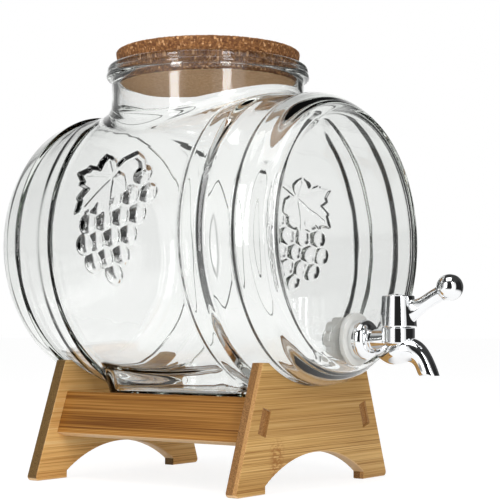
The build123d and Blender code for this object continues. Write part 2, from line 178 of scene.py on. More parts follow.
class Skin:
    """Growing list of points and faces of one closed mesh, in millimetres."""

    def __init__(self) -> None:
        """Start with nothing."""
        self.points = np.zeros((0, 3))
        self.faces: list[tuple[int, ...]] = []

    def add(self, points: np.ndarray) -> np.ndarray:
        """Add points.

        Args:
            points: array of any shape whose last axis is x, y, z.

        Returns:
            The new points' numbers, in the same shape.
        """
        first = len(self.points)
        flat = points.reshape(-1, 3)
        self.points = np.vstack([self.points, flat])
        return np.arange(first, first + len(flat)).reshape(points.shape[:-1])

    def weave(self, ids: np.ndarray, closed: bool, gone: np.ndarray | None = None) -> None:
        """Lay quads over a grid of point numbers.

        Args:
            ids: point numbers in rows and columns.
            closed: whether the last column joins the first.
            gone: cells that are left open.
        """
        turned = np.roll(ids, -1, axis=1) if closed else ids[:, 1:]
        plain = ids if closed else ids[:, :-1]
        quads = np.stack([plain[:-1], plain[1:], turned[1:], turned[:-1]], axis=-1)
        if gone is not None:
            quads = quads[~gone]
        self.faces.extend(tuple(int(i) for i in quad) for quad in quads.reshape(-1, 4))

    def fill(self, outer: np.ndarray, inner: np.ndarray | None, flat: np.ndarray,
             loose: np.ndarray | None = None) -> None:
        """Close the space between two loops with triangles.

        Args:
            outer: point numbers of the outer loop, in order.
            inner: point numbers of the loop round a hole, or None.
            flat: flat places of every point named here, in the order outer, inner, loose.
            loose: numbers of further points between the loops, or None.
        """
        groups = [g for g in (outer, inner, loose) if g is not None]
        ids = np.concatenate(groups)
        edges = []
        first = 0
        for loop in (g for g in (outer, inner) if g is not None):
            size = len(loop)
            edges += [(first + i, first + (i + 1) % size) for i in range(size)]
            first += size
        cut = delaunay_2d_cdt([Vector(p) for p in flat], edges, [], 0, 1e-9, True)
        origin = [sources[0] for sources in cut[3]]
        triangles = np.array([[origin[i] for i in face] for face in cut[2]])
        middles = flat[triangles].mean(axis=1)
        kept = inside_loop(middles, flat[: len(outer)])
        if inner is not None:
            kept &= ~inside_loop(middles, flat[len(outer): len(outer) + len(inner)])
        self.faces.extend(tuple(int(ids[i]) for i in face) for face in triangles[kept])

    def make(self, name: str) -> bpy.types.Object:
        """Turn the list into a mesh object in metres, with its faces pointing outwards.

        Args:
            name: name of the piece.

        Returns:
            The new object, linked to the scene.
        """
        mesh = bpy.data.meshes.new(name)
        mesh.from_pydata((self.points * MM).tolist(), [], self.faces)
        work = bmesh.new()
        work.from_mesh(mesh)
        loose = [v for v in work.verts if not v.link_faces]
        bmesh.ops.delete(work, geom=loose, context="VERTS")
        bmesh.ops.recalc_face_normals(work, faces=work.faces)
        open_edges = sum(1 for e in work.edges if len(e.link_faces) != 2)
        if open_edges:
            LOG.warning("%s has %d open edges", name, open_edges)
        work.to_mesh(mesh)
        work.free()
        mesh.shade_smooth()
        piece = bpy.data.objects.new(name, mesh)
        bpy.context.scene.collection.objects.link(piece)
        return piece


class Wiring:
    """Node tree with short calls that add nodes and join them."""

    def __init__(self, tree: bpy.types.NodeTree) -> None:
        """Keep the tree that the nodes go in."""
        self.tree = tree

    def add(self, kind: str, inputs: dict[Any, Any] | None = None, **settings: Any) -> bpy.types.Node:
        """Add a node, set its options and fill its sockets.

        Args:
            kind: Blender's name of the node.
            inputs: values or other sockets, by socket name or number.
            settings: the node's own options.

        Returns:
            The new node.
        """
        node = self.tree.nodes.new(kind)
        for key, value in settings.items():
            setattr(node, key, value)
        for key, value in (inputs or {}).items():
            if isinstance(value, Socket):
                self.tree.links.new(value, node.inputs[key])
            else:
                node.inputs[key].default_value = value
        return node

    def maths(self, operation: str, first: Any, second: Any = 0.0, third: Any = 0.0) -> Socket:
        """One sum on values or sockets."""
        inputs = {0: first, 1: second, 2: third}
        return self.add("ShaderNodeMath", inputs, operation=operation).outputs[0]

    def spread(self, value: Socket, low: float, high: float, to_low: float, to_high: float) -> Socket:
        """Carry one range of values to another, softly and held at its ends."""
        inputs = {"Value": value, "From Min": low, "From Max": high, "To Min": to_low, "To Max": to_high}
        return self.add("ShaderNodeMapRange", inputs, interpolation_type="SMOOTHSTEP").outputs[0]


class NodeBook(Wiring):
    """Shader tree of a finish or of the surroundings, with short calls for what finishes share."""

    def __init__(self, owner: bpy.types.Material | bpy.types.World) -> None:
        """Open an empty tree with its output.

        Args:
            owner: material or world that the tree belongs to.
        """
        owner.use_nodes = True
        super().__init__(owner.node_tree)
        self.owner = owner
        self.tree.nodes.clear()
        plain = isinstance(owner, bpy.types.Material)
        self.output = self.add("ShaderNodeOutputMaterial" if plain else "ShaderNodeOutputWorld")

    def place(self, scale: Spot = (1, 1, 1)) -> Socket:
        """Object coordinates, stretched."""
        where = self.add("ShaderNodeTexCoord").outputs["Object"]
        return self.add("ShaderNodeMapping", {"Vector": where, "Scale": scale}).outputs[0]

    def facing(self) -> Axes:
        """Way that the surface faces, as sockets X, Y and Z."""
        return self.axes(self.add("ShaderNodeTexCoord").outputs["Normal"])

    def axes(self, where: Socket) -> Axes:
        """Sockets X, Y and Z of a vector."""
        return self.add("ShaderNodeSeparateXYZ", {0: where}).outputs

    def noise(self, where: Socket, scale: float, detail: float = 2.0, rough: float = 0.5) -> Socket:
        """Soft random values from 0 to 1."""
        inputs = {"Vector": where, "Scale": scale, "Detail": detail, "Roughness": rough}
        return self.add("ShaderNodeTexNoise", inputs).outputs["Fac"]

    def shades(self, value: Socket, stops: Sequence[tuple[float, Colour]]) -> Socket:
        """Turn a range of values into colours.

        Args:
            value: socket with values from 0 to 1.
            stops: values and their colours, rising.

        Returns:
            Socket with the colour.
        """
        node = self.add("ShaderNodeValToRGB", {"Fac": value})
        ramp = node.color_ramp
        while len(ramp.elements) < len(stops):
            ramp.elements.new(0.5)
        for element, (place, colour) in zip(ramp.elements, stops):
            element.position = place
            element.color = (*colour, 1.0)
        return node.outputs["Color"]

    def mix(self, share: Any, first: Any, second: Any, blend: str = "MIX") -> Socket:
        """Mix two colours.

        Args:
            share: how much of the second, from 0 to 1.
            first: colour or socket.
            second: colour or socket.
            blend: way of mixing.

        Returns:
            Socket with the colour.
        """
        first, second = ((*c, 1.0) if isinstance(c, tuple) else c for c in (first, second))
        node = self.add("ShaderNodeMix", {0: share, 6: first, 7: second}, data_type="RGBA", blend_type=blend)
        return node.outputs[2]

    def blend(self, share: Any, first: Any, second: Any) -> Socket:
        """Mix two levels by a share."""
        return self.add("ShaderNodeMix", {0: share, 2: first, 3: second}, data_type="FLOAT").outputs[0]

    def bump(self, height: Socket, strength: float, depth_mm: float) -> Socket:
        """Fine relief of the surface from a height."""
        inputs = {"Height": height, "Strength": strength, "Distance": depth_mm * MM}
        return self.add("ShaderNodeBump", inputs).outputs[0]

    def finish(self, result: bpy.types.Node, part: str = "Surface") -> None:
        """Join a shader to the output."""
        self.tree.links.new(result.outputs[0], self.output.inputs[part])

    def surface(self, inputs: dict[str, Any]) -> None:
        """Principled shader joined to the output."""
        self.finish(self.add("ShaderNodeBsdfPrincipled", inputs))


@dataclass(frozen=True)
class GlassFinish:
    """Clear pressed glass with a faint green cast and soft ripples from the mould."""

    tint: Colour = (0.985, 0.988, 0.986)
    depth_tint: Colour = (0.72, 0.80, 0.70)
    depth_density: float = 12.0
    refraction: float = 1.5
    ripple_scale: float = 30.0
    bump: Point = (0.25, 1.2)
    haze_scale: float = 55.0
    haze: float = 0.018

    def material(self) -> bpy.types.Material:
        """Build the finish.

        Returns:
            The new material.
        """
        book = NodeBook(bpy.data.materials.new("pressed_glass"))
        where = book.place()
        ripple = book.noise(where, self.ripple_scale, 1.0)
        haze = book.spread(book.noise(where, self.haze_scale, 3.0), 0.45, 0.8, 0.0, self.haze)
        book.surface({
            "Base Color": (*self.tint, 1.0),
            "Roughness": haze,
            "IOR": self.refraction,
            "Transmission Weight": 1.0,
            "Normal": book.bump(ripple, *self.bump),
        })
        inputs = {"Color": (*self.depth_tint, 1.0), "Density": self.depth_density}
        book.finish(book.add("ShaderNodeVolumeAbsorption", inputs), "Volume")
        return book.owner


@dataclass(frozen=True)
class CorkFinish:
    """Pressed cork granules in browns, with dark gaps and pale chips."""

    granule_mm: float = 1.3
    seed: float = 7.0
    fleck_scale: float = 1500.0
    gap_tone: Colour = (0.075, 0.026, 0.010)
    fleck_tone: Colour = (0.085, 0.030, 0.010)
    top_tones: Tones = ((0.42, 0.235, 0.115), (0.74, 0.470, 0.260))
    # Painted light: pale underside tones stand in for light from below through the glass
    painted_light_underside_tones: Tones = ((0.84, 0.480, 0.240), (1.0, 0.690, 0.415))
    bump: Point = (0.55, 0.35)

    # Tones by chance, from 0 to 1
    GRANULES: ClassVar[Sequence[tuple[float, Colour]]] = (
        (0.0, (0.150, 0.050, 0.012)),
        (0.3, (0.245, 0.098, 0.028)),
        (0.62, (0.345, 0.148, 0.047)),
        (0.86, (0.470, 0.220, 0.080)),
        (1.0, (0.790, 0.450, 0.210)),
    )

    def material(self) -> bpy.types.Material:
        """Build the finish.

        Returns:
            The new material.
        """
        book = NodeBook(bpy.data.materials.new("pressed_cork"))
        where = book.place()
        cells = {"Vector": where, "Scale": 1.0 / (self.granule_mm * MM), "W": self.seed}
        grain = book.add("ShaderNodeTexVoronoi", cells, voronoi_dimensions="4D")
        edge = book.add("ShaderNodeTexVoronoi", cells, voronoi_dimensions="4D", feature="DISTANCE_TO_EDGE")
        chance = book.add("ShaderNodeSeparateColor", {0: grain.outputs["Color"]}).outputs[0]
        tone = book.shades(chance, self.GRANULES)
        fleck = book.noise(where, self.fleck_scale, 3.0, 0.65)
        tone = book.mix(book.spread(fleck, 0.35, 0.7, 0.35, 0.0), tone, self.fleck_tone)
        gap = book.spread(edge.outputs["Distance"], 0.0, 0.10, 0.6, 0.0)
        tone = book.mix(gap, tone, self.gap_tone)
        # The flat top is paler than the turned side; the underside is painted paler still, painted light
        # standing in for light from below through the glass and a grazing sheen
        level = book.facing()["Z"]
        top = book.spread(level, 0.6, 0.9, 0.0, 0.6)
        tone = book.mix(top, tone, book.mix(chance, *self.top_tones))
        under = book.spread(level, -0.9, -0.6, 0.86, 0.0)
        tone = book.mix(under, tone, book.mix(chance, *self.painted_light_underside_tones))
        height = book.maths("ADD", book.maths("MULTIPLY", gap, -0.8), fleck)
        book.surface({
            "Base Color": tone,
            "Roughness": book.spread(chance, 0.0, 1.0, 0.62, 0.85),
            "Specular IOR Level": 0.3,
            "Normal": book.bump(height, *self.bump),
        })
        return book.owner


@dataclass(frozen=True)
class BambooFinish:
    """Oiled bamboo board: fine fibres along the board, glued strips and one leaf joint."""

    board: str
    grain: Grain
    tones: tuple[Colour, ...]
    joint_mm: Spot | None = None
    joint_half_mm: Point = (8.0, 12.0)
    joint_tone: Colour = (0.330, 0.125, 0.024)
    strip_mm: float = 19.5
    outer_ply_mm: Point | None = None
    ply_tones: Tones = ((0.360, 0.180, 0.058), (0.540, 0.300, 0.110))
    sawn_tones: Tones = ((0.150, 0.066, 0.020), (0.330, 0.165, 0.055))
    # Painted light: pale tone on down-facing faces, standing in for bounce from the table
    painted_bounce_tone: Colour = (0.800, 0.540, 0.290)
    dot_scale: float = 1700.0
    bump: Point = (0.16, 0.25)

    def fibres(self, book: NodeBook, along: float, across: float) -> Socket:
        """Streaks of one size that follow the board: how many to a metre, along and across it."""
        stretch = (along, across, across) if self.grain is Grain.ACROSS else (across, along, across)
        return book.noise(book.place(stretch), 1.0, 2.0, 0.6)

    def joint(self, book: NodeBook, cuts: Axes) -> Socket:
        """Dark flecks of the leaf joint.

        Args:
            book: tree that the nodes go in.
            cuts: sockets X, Y and Z of the place.

        Returns:
            Socket with the share of the dark tone.
        """
        near = 1.0
        for axis, half_mm in zip((self.grain.value, "Z"), self.joint_half_mm):
            middle_mm = self.joint_mm["XYZ".index(axis)]
            gap = book.maths("ABSOLUTE", book.maths("SUBTRACT", cuts[axis], middle_mm * MM))
            close = book.spread(gap, 0.3 * half_mm * MM, half_mm * MM, 1.0, 0.0)
            near = book.maths("MULTIPLY", near, close)
        flecks = book.spread(self.fibres(book, 330.0, 620.0), 0.42, 0.58, 0.0, 1.0)
        return book.maths("MULTIPLY", near, flecks)

    def material(self) -> bpy.types.Material:
        """Build the finish.

        Returns:
            The new material.
        """
        book = NodeBook(bpy.data.materials.new(f"bamboo_{self.board}"))
        fibre = self.fibres(book, 14.0, 2600.0)
        mixed = book.maths("MULTIPLY", self.fibres(book, 5.0, 1500.0), 0.5)
        mixed = book.maths("MULTIPLY_ADD", fibre, 0.28, mixed)
        mixed = book.maths("MULTIPLY_ADD", self.fibres(book, 3.0, 130.0), 0.22, mixed)
        dark, middle, light = self.tones
        colour = book.shades(mixed, ((0.41, dark), (0.485, middle), (0.515, middle), (0.59, light)))
        # Glued strips, each a shade of its own
        cuts = book.axes(book.place())
        strips = book.maths("MULTIPLY_ADD", cuts["Z"], 1.0 / (self.strip_mm * MM), 0.35)
        strip = book.maths("FLOOR", strips)
        shade = book.add("ShaderNodeTexWhiteNoise", {"W": strip}, noise_dimensions="1D").outputs["Value"]
        colour = book.mix(book.spread(shade, 0.0, 1.0, 0.0, 0.3), colour, dark)
        if self.joint_mm is not None:
            share = book.maths("MULTIPLY", self.joint(book, cuts), 0.75)
            colour = book.mix(share, colour, self.joint_tone)
        # Cut ends of the fibres on the sawn sides
        turned = book.facing()
        cut = book.spread(book.maths("ABSOLUTE", turned[self.grain.value]), 0.45, 0.75, 0.0, 1.0)
        dots = book.spread(book.noise(book.place(), self.dot_scale), 0.3, 0.7, 0.0, 1.0)
        sawn = book.mix(dots, *self.sawn_tones)
        if self.outer_ply_mm is not None:
            ply = book.maths("COMPARE", cuts["Y"], sum(self.outer_ply_mm) / 2 * MM,
                             abs(self.outer_ply_mm[1] - self.outer_ply_mm[0]) / 2 * MM)
            sawn = book.mix(ply, sawn, book.mix(dots, *self.ply_tones))
        colour = book.mix(cut, colour, sawn)
        # Undersides painted pale: painted light standing in for bounce from the table
        under = book.spread(turned["Z"], -0.55, -0.15, 0.9, 0.0)
        colour = book.mix(under, colour, self.painted_bounce_tone)
        book.surface({
            "Base Color": colour,
            "Roughness": book.spread(fibre, 0.3, 0.7, 0.52, 0.38),
            "Specular IOR Level": 0.25,
            "Normal": book.bump(mixed, *self.bump),
        })
        return book.owner


@dataclass(frozen=True)
class ChromeFinish:
    """Mirror chrome plating with faint smudges."""

    tone: Colour = (0.86, 0.87, 0.88)
    smudge_tone: Colour = (0.70, 0.71, 0.72)
    smudge_scale: float = 140.0
    wave_scale: float = 90.0
    bump: Point = (0.03, 0.3)

    def material(self) -> bpy.types.Material:
        """Build the finish.

        Returns:
            The new material.
        """
        book = NodeBook(bpy.data.materials.new("chrome_plate"))
        where = book.place()
        smudge = book.noise(where, self.smudge_scale, 4.0, 0.6)
        book.surface({
            "Base Color": book.mix(book.spread(smudge, 0.5, 0.8, 0.0, 0.12), self.tone, self.smudge_tone),
            "Metallic": 1.0,
            "Roughness": book.spread(smudge, 0.35, 0.75, 0.02, 0.09),
            "Normal": book.bump(book.noise(where, self.wave_scale, 1.0), *self.bump),
        })
        return book.owner


@dataclass(frozen=True)
class SoftFinish:
    """Moulded rubber or plastic: a plain tone with faint mottling and a fine skin."""

    name: str
    tone: Colour
    shade: Colour
    rough: float
    glow: float = 0.0
    glow_mm: float = 3.0
    cloud_scale: float = 160.0
    skin_scale: float = 2600.0
    bump: Point = (0.12, 0.08)

    def material(self) -> bpy.types.Material:
        """Build the finish.

        Returns:
            The new material.
        """
        book = NodeBook(bpy.data.materials.new(self.name))
        where = book.place()
        cloud = book.noise(where, self.cloud_scale, 3.0)
        skin = book.noise(where, self.skin_scale)
        inputs = {
            "Base Color": book.mix(book.spread(cloud, 0.3, 0.75, 0.0, 0.7), self.tone, self.shade),
            "Roughness": book.spread(cloud, 0.2, 0.8, self.rough - 0.06, self.rough + 0.08),
            "Normal": book.bump(skin, *self.bump),
        }
        if self.glow:
            inputs["Subsurface Weight"] = self.glow
            inputs["Subsurface Radius"] = (1.0, 0.95, 0.9)
            inputs["Subsurface Scale"] = self.glow_mm * MM
        book.surface(inputs)
        return book.owner


@dataclass(frozen=True)
class SteelFinish:
    """Plain turned steel."""

    tones: Tones = ((0.50, 0.50, 0.49), (0.66, 0.66, 0.65))
    line_scale: float = 300.0

    def material(self) -> bpy.types.Material:
        """Build the finish.

        Returns:
            The new material.
        """
        book = NodeBook(bpy.data.materials.new("turned_steel"))
        lines = book.noise(book.place((1.0, 1.0, 30.0)), self.line_scale)
        book.surface({
            "Base Color": book.mix(lines, *self.tones),
            "Metallic": 1.0,
            "Roughness": book.spread(lines, 0.2, 0.8, 0.25, 0.42),
        })
        return book.owner


@dataclass
class VineRelief:
    """Traditional bunch of grapes under a vine leaf, pressed into the glass.

    Places are millimetres to the right and up, seen from outside.
    """

    grape_radius: float = 7.0
    grape_depth: float = 3.1
    leaf_depth: float = 2.2
    leaf_edge: float = 3.2
    leaf_middle: Point = (-11.0, 34.6)
    leaf_points_to: float = 224.0
    vein_rise: float = 0.7
    vein_width: float = 0.7
    vein_share: float = 0.8
    twig_half: float = 2.2
    twig_depth: float = 1.6
    left: float = -43.0
    right: float = 43.0
    low: float = -33.0
    high: float = 57.0

    GRAPES: ClassVar[Sequence[Point]] = (
        (19, 37), (26, 25), (13, 24.5), (0, 22), (-13, 19.5), (20, 12.5), (7, 11.5), (-6, 9.5), (-19, 8),
        (14, 0.5), (1, -0.5), (-12, -3), (-21.5, -4.5), (8, -11.5), (-5, -13), (-15, -15.5), (1, -22.5),
    )
    # Half of the outline, as degrees from the leaf's tip and reach from its middle
    LEAF: ClassVar[Sequence[Point]] = (
        (0, 27.5), (13, 21), (19, 22), (32, 14.5), (44, 20.5), (51, 20), (62, 26.5), (73, 20.5), (80, 20.5),
        (93, 13.5), (105, 17.5), (117, 20), (134, 17), (150, 15), (166, 11.5), (180, 6.0),
    )
    # Corners of the outline that veins run towards
    VEIN_TIPS: ClassVar[Sequence[int]] = (0, 6, 11, -6, -11)
    TWIG: ClassVar[Sequence[Point]] = ((-7.0, 39.0), (0.0, 48.0), (8.0, 52.0), (14.0, 48.0), (17.5, 42.0))

    def leaf_outline(self) -> np.ndarray:
        """Draw the leaf, mirrored about the line that it points along.

        Returns:
            Corners of its outline, in order.
        """
        half = list(self.LEAF)
        full = half + [(-angle, reach) for angle, reach in reversed(half[1:-1])]
        turned = [(math.radians(self.leaf_points_to + angle), reach) for angle, reach in full]
        return np.array([
            (self.leaf_middle[0] + reach * math.cos(a), self.leaf_middle[1] + reach * math.sin(a))
            for a, reach in turned
        ])

    def leaf_sink(self, spots: np.ndarray) -> np.ndarray:
        """Sink the flat leaf, with ridges for its veins.

        Args:
            spots: places to the right and up.

        Returns:
            Depths in millimetres.
        """
        outline = self.leaf_outline()
        away = np.full(spots.shape[:-1], 1e9)
        for start, end in zip(outline, np.roll(outline, -1, axis=0)):
            away = np.minimum(away, line_distance(spots, start, end))
        within = inside_loop(spots.reshape(-1, 2), outline).reshape(away.shape)
        depth = self.leaf_depth * smooth_step(np.where(within, away, -away) / self.leaf_edge + 0.5)
        base = outline[len(self.LEAF) - 1]
        for tip in self.VEIN_TIPS:
            end = base + self.vein_share * (outline[tip] - base)
            ridge = np.exp(-((line_distance(spots, base, end) / self.vein_width) ** 2))
            depth = depth - self.vein_rise * ridge * within
        return depth

    def sink(self, right: np.ndarray, up: np.ndarray) -> np.ndarray:
        """Depth of the ornament below the barrel's own curve.

        Args:
            right: places to the right of the barrel's middle, seen from outside.
            up: places above the barrel's axis, along the glass.

        Returns:
            Depths in millimetres.
        """
        spots = np.stack([right, up], axis=-1)
        depth = self.leaf_sink(spots)
        for start, end in zip(self.TWIG, self.TWIG[1:]):
            round_off = np.clip(1.0 - (line_distance(spots, start, end) / self.twig_half) ** 2, 0.0, 1.0)
            depth = np.maximum(depth, self.twig_depth * np.sqrt(round_off))
        for middle in self.GRAPES:
            gap = np.hypot(right - middle[0], up - middle[1]) / self.grape_radius
            depth = np.maximum(depth, self.grape_depth * np.clip(1.0 - gap**2, 0.0, 1.0))
        return depth


@dataclass
class GlassBarrel:
    """Pressed glass barrel with hoops, neck, rolled rim, foot pad, tap hole and two ornaments."""

    belly_radius: float = 96.0
    stave_bow: float = 427.0
    wall: float = 4.5
    hoop_proud: float = 3.1
    front_rise: float = 7.0
    rear_rise: float = 1.5
    hoop_fall: float = 4.6
    hoop_follow: float = 0.2
    hoop_soften: float = 4.0
    inner_hoop: Point = (51.5, 67.4)
    outer_hoop: Point = (85.9, 98.0)
    chime_end: float = 107.0
    chime_radius: float = 81.0
    chime_edge: float = 1.2
    head_face: float = 109.46
    head_flat: float = 77.0
    head_round: float = 1.6
    head_rim: float = 1.2
    inner_head: float = 105.04
    inner_round: Point = (4.5, 5.5)
    ripple: float = 0.18
    ripple_end: float = 88.0
    ripple_fade: float = 12.0
    neck_radius: float = 62.8
    neck_bore: float = 59.3
    neck_top: float = 115.5
    neck_back: float = 2.0
    neck_flare: float = 8.0
    neck_rise: float = 7.0
    neck_clear: float = 11.0
    neck_margin: float = 1.0
    neck_turns: int = 216
    bore_flare: float = 5.0
    bore_rise: float = 4.0
    bore_clear: float = 14.0
    foot_half: Point = (43.5, 53.0)
    foot_corner: float = 13.0
    foot_level: float = 99.5
    foot_draft: float = 15.0
    foot_wall: float = 6.0
    foot_edge: float = 3.0
    foot_blend: float = 6.0
    hollow_blend: float = 5.0
    foot_reach: Point = (60.0, 125.0)
    foot_steps: int = 32
    foot_cosine: float = 0.6
    hole_radius: float = 7.0
    hole_edge: float = 0.5
    hole_seat: float = 1.8
    hole_turns: int = 56
    patch_spacing: float = 0.72
    # Millimetres along the barrel and radians round it
    patch_room: Point = (1.5, 0.02)
    patch_margin: Point = (0.6, 0.007)
    relief: VineRelief = field(default_factory=VineRelief)

    # Share of the ripple, number of waves round the barrel, length along it and shift
    WAVES: ClassVar[Sequence[tuple[float, ...]]] = (
        (1.0, 3, 19.0, 0.0), (1.0, 5, -27.0, 1.3), (0.8, 2, 13.0, 2.1),
    )
    # Start, end and spacing, from the barrel's middle and in degrees round it
    OUTER_ROWS: ClassVar[Sequence[Stretch]] = (
        (0, 39, 3.2), (39, 46, 2.0), (46, 50, 0.6), (50, 53, 0.2), (53, 56, 0.6), (56, 62, 1.5),
        (62, 68, 0.55), (68, 81, 2.2), (81, 84.4, 0.6), (84.4, 87.4, 0.2), (87.4, 90.5, 0.6),
        (90.5, 96, 1.6), (96, 100, 0.5), (100, 104, 1.3),
    )
    OUTER_TURNS: ClassVar[Sequence[Stretch]] = (
        (0, 19, 2.4), (19, 33, 0.7), (33, 180, 2.4), (180, 327, 2.4), (327, 341, 0.7), (341, 360, 2.4),
    )
    INNER_ROWS: ClassVar[Sequence[Stretch]] = (
        (0, 42, 4.2), (42, 72, 1.5), (72, 78, 3.0), (78, 94, 1.6), (94, 100, 3.0),
    )
    INNER_TURNS: ClassVar[Sequence[Stretch]] = (
        (0, 18, 3.0), (18, 30, 1.0), (30, 330, 3.0), (330, 342, 1.0), (342, 360, 3.0),
    )

    def __post_init__(self) -> None:
        """Take the barrel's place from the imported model."""
        low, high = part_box("glass_barrel")
        self.middle_y = (low.y + high.y) / 2 / MM
        self.axis_z = low.z / MM + self.foot_level
        low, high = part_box("outer_washer")
        self.tap_z = (low.z + high.z) / 2 / MM
        self.skin = Skin()

    def stave(self, along: np.ndarray, inset: float = 0.0) -> np.ndarray:
        """Radius of the long curve from head to head."""
        bow = self.stave_bow - inset
        return self.belly_radius - inset - bow + np.sqrt(bow**2 - np.asarray(along) ** 2)

    def hoops(self, along: np.ndarray, soften: float = 0.0) -> np.ndarray:
        """Lift of the hoops above the long curve.

        Args:
            along: places along the barrel.
            soften: length by which their edges spread, for the inside.

        Returns:
            Heights in millimetres.
        """
        far = np.abs(along)
        width = np.where(along < 0.0, self.front_rise, self.rear_rise)
        rise, fall = width + soften, self.hoop_fall + soften
        inner = smooth_step((far - self.inner_hoop[0]) / rise + 0.5)
        inner = inner * (1.0 - smooth_step((far - self.inner_hoop[1] + self.hoop_fall + soften / 2) / fall))
        outer = smooth_step((far - self.outer_hoop[0]) / rise + 0.5)
        return self.hoop_proud * (inner + outer)

    def foot_radius(self, along: np.ndarray, turn: np.ndarray, trim: float, level: float) -> np.ndarray:
        """Radius at which a ray from the axis leaves the foot pad.

        Args:
            along: places along the barrel.
            turn: angles round the axis from straight down.
            trim: how much smaller the pad's outline is, for its inside.
            level: depth of its flat below the axis.

        Returns:
            Radii, small where the ray misses the pad.
        """
        slope = math.tan(math.radians(self.foot_draft))
        corner = self.foot_corner if trim == 0 else self.foot_corner / 2
        low, high = (np.full(along.shape, reach) for reach in self.foot_reach)
        for _ in range(self.foot_steps):
            radius = (low + high) / 2
            x = np.abs(radius * np.sin(turn)) - (self.foot_half[0] - trim - corner)
            y = np.abs(along) - (self.foot_half[1] - trim - corner)
            outside = np.hypot(np.maximum(x, 0), np.maximum(y, 0)) + np.minimum(np.maximum(x, y), 0) - corner
            leaves = outside > (level - radius * np.cos(turn)) * slope
            low, high = np.where(leaves, low, radius), np.where(leaves, radius, high)
        downward = np.cos(turn) > self.foot_cosine
        bottom = level / np.where(downward, np.cos(turn), 1.0)
        return np.where(downward, soft_min(low, bottom, self.foot_edge), self.foot_reach[0])

    def outer_radius(self, along: np.ndarray, turn: np.ndarray) -> np.ndarray:
        """Radius of the outside, with hoops, chime, foot and ornaments.

        Args:
            along: places along the barrel.
            turn: angles round the axis from straight down.

        Returns:
            Radii in millimetres.
        """
        stave = self.stave(along)
        x = stave * np.sin(turn)
        from_neck = np.hypot(x, along - self.neck_back) - self.neck_radius - self.neck_flare
        clear = np.where(np.cos(turn) < 0, smooth_step(from_neck / self.neck_clear), 1.0)
        radius = stave + self.hoops(along) * clear
        slope = self.stave(self.outer_hoop[1]) + self.hoop_proud - self.chime_radius
        slope = slope / (self.chime_end - self.outer_hoop[1])
        chime = self.chime_radius + (self.chime_end - np.abs(along)) * slope
        radius = soft_min(radius, chime, self.chime_edge)
        radius = soft_max(radius, self.foot_radius(along, turn, 0.0, self.foot_level), self.foot_blend)
        for side in Side:
            up = (np.pi / 2 * side.value - turn) * -side.value
            up = (up + np.pi) % TURN - np.pi
            right, up = side.value * along, up * self.belly_radius
            near = (right > self.relief.left) & (right < self.relief.right)
            near &= (up > self.relief.low) & (up < self.relief.high)
            if near.any():
                radius[near] -= self.relief.sink(right[near], up[near])
        return radius

    def inner_radius(self, along: np.ndarray, turn: np.ndarray) -> np.ndarray:
        """Radius of the inside, with slow ripples and the hollow of the foot.

        Args:
            along: places along the barrel.
            turn: angles round the axis from straight down.

        Returns:
            Radii in millimetres.
        """
        radius = self.stave(along, self.wall)
        fade = 1.0 - smooth_step((np.abs(along) - self.ripple_end) / self.ripple_fade)
        waves = sum(
            share * np.sin(count * turn + along / run + shift) for share, count, run, shift in self.WAVES)
        radius = radius - self.ripple * fade * (1.0 + waves / sum(wave[0] for wave in self.WAVES))
        from_neck = np.hypot(radius * np.sin(turn), along - self.neck_back) - self.neck_radius
        clear = np.where(np.cos(turn) < 0, smooth_step((from_neck - self.bore_flare) / self.bore_clear), 1.0)
        radius = radius + self.hoop_follow * self.hoops(along, self.hoop_soften) * clear
        hollow = self.foot_radius(along, turn, self.foot_wall, self.foot_level - self.foot_wall)
        return soft_max(radius, hollow, self.hollow_blend)

    def at(self, along: np.ndarray, turn: np.ndarray, radius: np.ndarray) -> np.ndarray:
        """Points from places along the barrel, angles from straight down and radii."""
        return np.stack([
            radius * np.sin(turn), self.middle_y + along, self.axis_z - radius * np.cos(turn)
        ], axis=-1)

    def hole_loop(self, ids: np.ndarray, gone: np.ndarray) -> np.ndarray:
        """Point numbers round a hole in a turned grid.

        Args:
            ids: point numbers of the grid.
            gone: cells of the hole.

        Returns:
            The loop's point numbers, in order.
        """
        turned = np.roll(ids, -1, axis=1)
        corners = np.stack([ids[:-1], ids[1:], turned[1:], turned[:-1]], axis=-1)[gone]
        edges = {(int(c[i]), int(c[(i + 1) % 4])) for c in corners for i in range(4)}
        follow = {a: b for a, b in edges if (b, a) not in edges}
        first = min(follow)
        loop = [first]
        while follow[loop[-1]] != first:
            loop.append(follow[loop[-1]])
        return np.array(loop)

    def neck_plan(self, points: np.ndarray) -> np.ndarray:
        """Places in plan, from the middle of the neck."""
        return points[..., :2] - np.array([0.0, self.middle_y + self.neck_back])

    def neck_cells(self, points: np.ndarray, reach: float) -> np.ndarray:
        """Find the cells of a turned grid that the neck takes up.

        Args:
            points: points of the grid.
            reach: radius of the hole for the neck.

        Returns:
            True for each cell in the hole.
        """
        close = np.linalg.norm(self.neck_plan(points), axis=-1) < reach
        close &= points[..., 2] > self.axis_z
        wide = close | np.roll(close, -1, axis=1)
        return wide[:-1] | wide[1:]

    def shell(self, rows: Sequence[Stretch], turn: np.ndarray, shape: Shape, corner: Point, flat: Point,
              spans: int) -> tuple[np.ndarray, np.ndarray]:
        """Points of a shell, from the front head to the rear head.

        Args:
            rows: start, end and spacing of its rows, from the middle to one end.
            turn: angles of its columns.
            shape: gives the radius from places and angles.
            corner: place and radius that the bend into a head goes towards.
            flat: radii of the bend's end and of the last row, on the head's flat.
            spans: number of spans in the bend.

        Returns:
            Places of all rows along the barrel, and the points.
        """
        half = stations(rows)
        middle = np.concatenate([-half[:0:-1], half])
        radius = shape(*np.meshgrid(middle, turn, indexing="ij"))
        edge = float(radius[0].mean())
        bend = bezier((half[-1], edge), corner, (corner[0], flat[0]), spans)[1:]
        bend = np.vstack([bend, [(corner[0], flat[1])]])
        ends = np.repeat(bend[:, 1:], len(turn), axis=1)
        along = np.concatenate([-bend[::-1, 0], middle, bend[:, 0]])
        radius = np.concatenate([ends[::-1], radius, ends])
        return along, self.at(*np.meshgrid(along, turn, indexing="ij"), radius)

